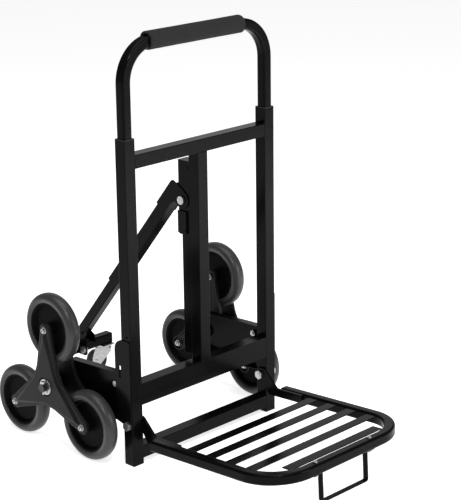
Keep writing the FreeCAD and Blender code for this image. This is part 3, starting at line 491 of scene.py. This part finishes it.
def ray_meets(outline, angle):
    """Radius at which a ray from the middle meets the outline, and its slant to the edge."""
    ray = Vector((math.cos(angle), math.sin(angle)))
    best, slant = 0.0, 1.0
    for first, second in zip(outline, outline[1:]):
        a, b = Vector(first), Vector(second)
        edge = b - a
        cross = ray.x * edge.y - ray.y * edge.x
        if abs(cross) < PARALLEL:
            continue
        along = (a.x * edge.y - a.y * edge.x) / cross
        at_edge = (a.x * ray.y - a.y * ray.x) / cross
        if -EDGE_SLACK <= at_edge <= 1 + EDGE_SLACK and along > best:
            best, slant = along, abs(cross) / edge.length
    return best, max(slant, LEAST_SLANT)


def star_column(outline, foot, crease, angle, hub_radius):
    """(radius, height) down one ray of the pressed plate, from its rim to its hub hole."""
    edge, slant = ray_meets(outline, angle)
    column = [(edge, -RIM_DEPTH), (edge, -(ROLL + RIM_DEPTH) / 2)]
    for i in range(ROLL_STEPS + 1):
        turned = math.radians(90 * i / ROLL_STEPS)
        column.append((edge - ROLL * (1 - math.cos(turned)) / slant,
                       ROLL * (math.sin(turned) - 1)))
    foot_radius = min(column[-1][0] - ROLL_INSET, ray_meets(foot, angle)[0])
    top_radius = min(foot_radius - RIDGE_FLANK, ray_meets(crease, angle)[0])
    start = top_radius - CREASE
    column += [(foot_radius, 0.0), (top_radius, RIDGE_HEIGHT - CREASE_DROP),
               (start, RIDGE_HEIGHT)]
    for i in range(1, PLATEAU_RINGS + 1):
        column.append((start + (HUB_SEAT[1] - start) * i / PLATEAU_RINGS, RIDGE_HEIGHT))
    column += [(HUB_SEAT[0], -HUB_DROP), (hub_radius, -HUB_DROP)]
    return column


def star_plate(reach, tip, hub_radius, facing, centre):
    """Pressed three-armed sheet with a rolled rim, ridged arms and a sunk hub seat."""
    outline = half_arm(reach, tip, TIP_TAPER, STAR_WAIST)
    foot = half_arm(reach - FOOT_BACK, FOOT_TIP, FOOT_TAPER, FOOT_WAIST)
    crease = half_arm(reach - RIDGE_BACK, RIDGE_TIP, RIDGE_TAPER, RIDGE_WAIST)
    half = [math.radians(degrees) for degrees in RAY_DEGREES]
    angles = [-angle for angle in reversed(half[1:])] + half[:-1]
    mesh_data = bmesh.new()
    columns = []
    for arm in range(ARMS):
        for angle in angles:
            turn = FIRST_ARM + arm * ARM_TURN + angle
            ray = min(abs(angle), WAIST_TURN)
            columns.append([
                mesh_data.verts.new((centre.x + facing * height,
                                     centre.y + radius * math.cos(turn),
                                     centre.z + radius * math.sin(turn)))
                for radius, height in star_column(outline, foot, crease, ray, hub_radius)])
    for i, column in enumerate(columns):
        following = columns[(i + 1) % len(columns)]
        for j in range(len(column) - 1):
            mesh_data.faces.new((column[j], column[j + 1], following[j + 1], following[j]))
    return mesh_data


def outer_face(node, facing):
    """X of a node's left side if facing is -1, or of its right side if it is 1."""
    low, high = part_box(node)
    return high.x if facing > 0 else low.x


for side, facing in FACING.items():
    name = f"star_outer_plate_{side}"
    low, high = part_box(name)
    hub_low, hub_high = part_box(f"star_hub_{side}")
    axle = JOINTS[f"star_turn_{side}"]["pos_m"]
    wheel = JOINTS[f"wheel_top_{side}_spin"]["pos_m"]
    mesh_data = star_plate(wheel[2] - axle[2], high.z - wheel[2],
                           (hub_high.z - hub_low.z) / 2 - HUB_CLEARANCE, facing,
                           Vector((outer_face(name, facing), axle[1], axle[2])))
    plate = to_piece(mesh_data, name + "_pressed", f"star_{side}", "star_paint", [name])
    sheet = plate.modifiers.new("sheet", "SOLIDIFY")
    sheet.thickness = STAR_SHEET
    sheet.offset = -1.0
    split_edges(plate, STAR_CREASE_ANGLE)


# ------------------------------------------------------------------------- wheel bolts

HEAD_FLAT_TO_FLAT = 11 * MM
HEAD_CORNER = HEAD_FLAT_TO_FLAT / math.sqrt(3)
HEAD_HEIGHT = 5.0 * MM
HEAD_CHAMFER = (0.8 * MM, 1.28 * MM)
SOCKET_DEPTH = 2.6 * MM
SOCKET_TOP = 3.0 * MM
SOCKET_FLOOR = 2.4 * MM
WASHER_RADIUS = 7.6 * MM
WASHER_THICKNESS = 1.4 * MM
WASHER_ROUND = (0.8, 0.95)
WASHER_STEPS = 32
SHANK = 4.0 * MM
SHANK_STEPS = 24
CORE = 0.3 * MM
HEX = 6
BOLT_CREASE_ANGLE = math.radians(30)


def bolt_head(mesh_data, centre, outwards):
    """A washer under a chamfered hexagon with a dished middle, at one end of a shank."""
    washer = [(0.0, CORE), (0.0, WASHER_RADIUS),
              (WASHER_THICKNESS * WASHER_ROUND[0], WASHER_RADIUS),
              (WASHER_THICKNESS, WASHER_RADIUS * WASHER_ROUND[1]), (WASHER_THICKNESS, CORE)]
    revolve(mesh_data, washer, centre, outwards, WASHER_STEPS)
    top = WASHER_THICKNESS + HEAD_HEIGHT
    head = [(WASHER_THICKNESS, CORE), (WASHER_THICKNESS, HEAD_CORNER),
            (top - HEAD_CHAMFER[0], HEAD_CORNER), (top, HEAD_CORNER - HEAD_CHAMFER[1]),
            (top, SOCKET_TOP), (top - SOCKET_DEPTH, SOCKET_FLOOR), (top - SOCKET_DEPTH, CORE)]
    revolve(mesh_data, head, centre, outwards, HEX)


for side, facing in FACING.items():
    node = f"star_bolts_{side}"
    front_x = outer_face(f"star_outer_plate_{side}", facing)
    back_x = outer_face(f"star_inner_plate_{side}", -facing)
    length = abs(front_x - back_x)
    shank = [(0.0, CORE), (0.0, SHANK), (length, SHANK), (length, CORE)]
    mesh_data = bmesh.new()
    for spot in SPOTS:
        middle = middle_of(*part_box(f"rim_{spot}_{side}"))
        bolt_head(mesh_data, (front_x, middle.y, middle.z), X_AXIS * facing)
        bolt_head(mesh_data, (back_x, middle.y, middle.z), X_AXIS * -facing)
        revolve(mesh_data, shank, (back_x, middle.y, middle.z), X_AXIS * facing, SHANK_STEPS)
    heads = to_piece(mesh_data, node + "_chamfered", f"star_{side}", "zinc_steel", [node])
    split_edges(heads, BOLT_CREASE_ANGLE)


# ---------------------------------------------------------------------------- foam grip

GRIP_STEPS = 90
GRIP_ROUND = 56
GRIP_POWER = 2.25
GRIP_EDGE = 4.0 * MM
GRIP_EDGE_STEPS = 6
GRIP_WAVE = 0.25 * MM
GRIP_WAVE_SCALE = 18
GRIP_WAVE_ROW = (0.3, 0.7)
GRIP_SINK = 0.2 * MM
MOUTH_CHAMFERS = ((1.5 * MM, 0.4 * MM), (0.4 * MM, 1.6 * MM))
TUBE_HALF = 12.7 * MM


def grip_ring(mesh_data, middle, x, radius):
    """One superellipse ring of the sleeve, at x from its middle."""
    ring = []
    for j in range(GRIP_ROUND):
        angle = 2 * math.pi * j / GRIP_ROUND
        c, s = math.cos(angle), math.sin(angle)
        y = math.copysign(abs(c) ** (2 / GRIP_POWER), c) * radius
        z = math.copysign(abs(s) ** (2 / GRIP_POWER), s) * radius
        ring.append(mesh_data.verts.new((middle.x + x, middle.y + y, middle.z + z)))
    return ring


low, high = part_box("handle_grip")
grip_middle = middle_of(low, high)
grip_half = (high.x - low.x) / 2
grip_radius = (high.z - low.z) / 2
straight_half = grip_half - GRIP_EDGE

# (distance from the middle, radius) from the mouth's inside, over the rolled end, to the outside.
end_section = [(grip_half - back, TUBE_HALF + out) for back, out in MOUTH_CHAMFERS]
end_section.append((grip_half, (TUBE_HALF + grip_radius) / 2))
for i in range(GRIP_EDGE_STEPS + 1):
    turn = math.radians(90 - 90 * i / GRIP_EDGE_STEPS)
    end_section.append((straight_half + GRIP_EDGE * math.sin(turn),
                        grip_radius - GRIP_EDGE + GRIP_EDGE * math.cos(turn)))

mesh_data = bmesh.new()
rings = [grip_ring(mesh_data, grip_middle, -along, radius) for along, radius in end_section]
for i in range(1, GRIP_STEPS):
    x = -straight_half + 2 * straight_half * i / GRIP_STEPS
    swell = GRIP_WAVE * noise.noise(Vector((x * GRIP_WAVE_SCALE, *GRIP_WAVE_ROW)))
    rings.append(grip_ring(mesh_data, grip_middle, x, grip_radius - GRIP_SINK + swell))
rings += [grip_ring(mesh_data, grip_middle, along, radius)
          for along, radius in reversed(end_section)]
rings_to_faces(mesh_data, rings)
grip = to_piece(mesh_data, "foam_grip", "handle", "grip_foam", ["handle_grip"])


# --------------------------------------------------------------------- floor and light

FLOOR_SIZE = 14.0
FLOOR_DROP = 0.2 * MM
FLOOR_COLOUR = (0.9, 0.9, 0.9, 1.0)
FLOOR_ROUGHNESS = 0.9
FLOOR_GLOW = 0.74
floor_mesh = bpy.data.meshes.new("floor")
half_floor = FLOOR_SIZE / 2
floor_z = cad_low.z - FLOOR_DROP
floor_mesh.from_pydata([(-half_floor, -half_floor, floor_z), (half_floor, -half_floor, floor_z),
                        (half_floor, half_floor, floor_z), (-half_floor, half_floor, floor_z)],
                       [], [(0, 1, 2, 3)])
floor = bpy.data.objects.new("floor", floor_mesh)
bpy.context.scene.collection.objects.link(floor)
floor_material, floor_tree, floor_shader = new_material("floor")
floor_shader.inputs["Base Color"].default_value = FLOOR_COLOUR
floor_shader.inputs["Roughness"].default_value = FLOOR_ROUGHNESS
floor_shader.inputs["Specular IOR Level"].default_value = 0.0
floor_shader.inputs["Emission Color"].default_value = WHITE
floor_shader.inputs["Emission Strength"].default_value = FLOOR_GLOW
floor_mesh.materials.append(floor_material)

WORLD_SEEN = 1.0
WORLD_LIGHT = 0.2
world = bpy.data.worlds.new("studio")
bpy.context.scene.world = world
world.use_nodes = True
world_tree = world.node_tree
background = world_tree.nodes["Background"]
background.inputs["Color"].default_value = WHITE
light_path = world_tree.nodes.new("ShaderNodeLightPath")
brightness = spread(world_tree, light_path.outputs["Is Camera Ray"], WORLD_LIGHT, WORLD_SEEN)
world_tree.links.new(brightness, background.inputs["Strength"])


MIDDLE = (0, 0, 0.45)
HALF_SPHERE = 180
# Name, place, width and height in metres, watts, what it is aimed at, spread in degrees.
LIGHTS = (
    ("overhead", (-0.2, -0.2, 2.9), (2.4, 2.4), 48, MIDDLE, HALF_SPHERE),
    ("left_front", (-2.6, -1.2, 1.5), (1.0, 1.8), 1.5, MIDDLE, HALF_SPHERE),
    ("right_front", (1.2, -2.8, 1.2), (1.2, 1.6), 30, MIDDLE, HALF_SPHERE),
    ("back", (2.1, 2.1, 1.2), (2.2, 1.4), 6, MIDDLE, HALF_SPHERE),
    ("floor_glow", (1.5, -1.6, 1.7), (1.8, 1.8), 24, (1.5, -1.6, 0), 70),
    ("key", (-1.2, -1.7, 2.6), (0.26, 0.26), 26, (-0.1, 0, 0.6), HALF_SPHERE),
)
for name, place, size, power, aim, spread_angle in LIGHTS:
    lamp = bpy.data.lights.new(name, "AREA")
    lamp.shape = "RECTANGLE"
    lamp.size, lamp.size_y = size
    lamp.energy = power
    lamp.spread = math.radians(spread_angle)
    item = bpy.data.objects.new(name, lamp)
    item.location = place
    item.rotation_mode = "QUATERNION"
    item.rotation_quaternion = (Vector(aim) - Vector(place)).to_track_quat("-Z", "Y")
    bpy.context.scene.collection.objects.link(item)


# ------------------------------------------------------------------------------- camera

CAMERA_AZIMUTH = math.radians(-45.45)
CAMERA_ELEVATION = math.radians(17.13)
CAMERA_ROLL = math.radians(-0.72)
CAMERA_DISTANCE = 3.69222
CAMERA_ASIDE = 0.06912
CAMERA_ABOVE = -0.04877
CAMERA_TARGET = Vector((0, -0.011, 0.5))
IMAGE_SIZE = (461, 500)
FOCAL_PIXELS = 1666.78
CENTRE_PIXELS = (230.33, 248.69)
SENSOR = 36.0

back = Vector((math.sin(CAMERA_AZIMUTH) * math.cos(CAMERA_ELEVATION),
               -math.cos(CAMERA_AZIMUTH) * math.cos(CAMERA_ELEVATION),
               math.sin(CAMERA_ELEVATION)))
level_right = Vector((math.cos(CAMERA_AZIMUTH), math.sin(CAMERA_AZIMUTH), 0))
level_up = back.cross(level_right)
right = level_right * math.cos(CAMERA_ROLL) + level_up * math.sin(CAMERA_ROLL)
up = level_up * math.cos(CAMERA_ROLL) - level_right * math.sin(CAMERA_ROLL)
lens = bpy.data.cameras.new("camera")
long_side = max(IMAGE_SIZE)
lens.sensor_width = SENSOR
lens.sensor_fit = "AUTO"
lens.lens = FOCAL_PIXELS * SENSOR / long_side
lens.shift_x = (IMAGE_SIZE[0] / 2 - CENTRE_PIXELS[0]) / long_side
lens.shift_y = (CENTRE_PIXELS[1] - IMAGE_SIZE[1] / 2) / long_side
camera = bpy.data.objects.new("camera", lens)
place = CAMERA_TARGET + right * CAMERA_ASIDE + up * CAMERA_ABOVE + back * CAMERA_DISTANCE
camera.matrix_world = Matrix((
    (right.x, up.x, back.x, place.x), (right.y, up.y, back.y, place.y),
    (right.z, up.z, back.z, place.z), (0, 0, 0, 1)))
bpy.context.scene.collection.objects.link(camera)
bpy.context.scene.camera = camera
bpy.context.scene.view_settings.view_transform = "Standard"
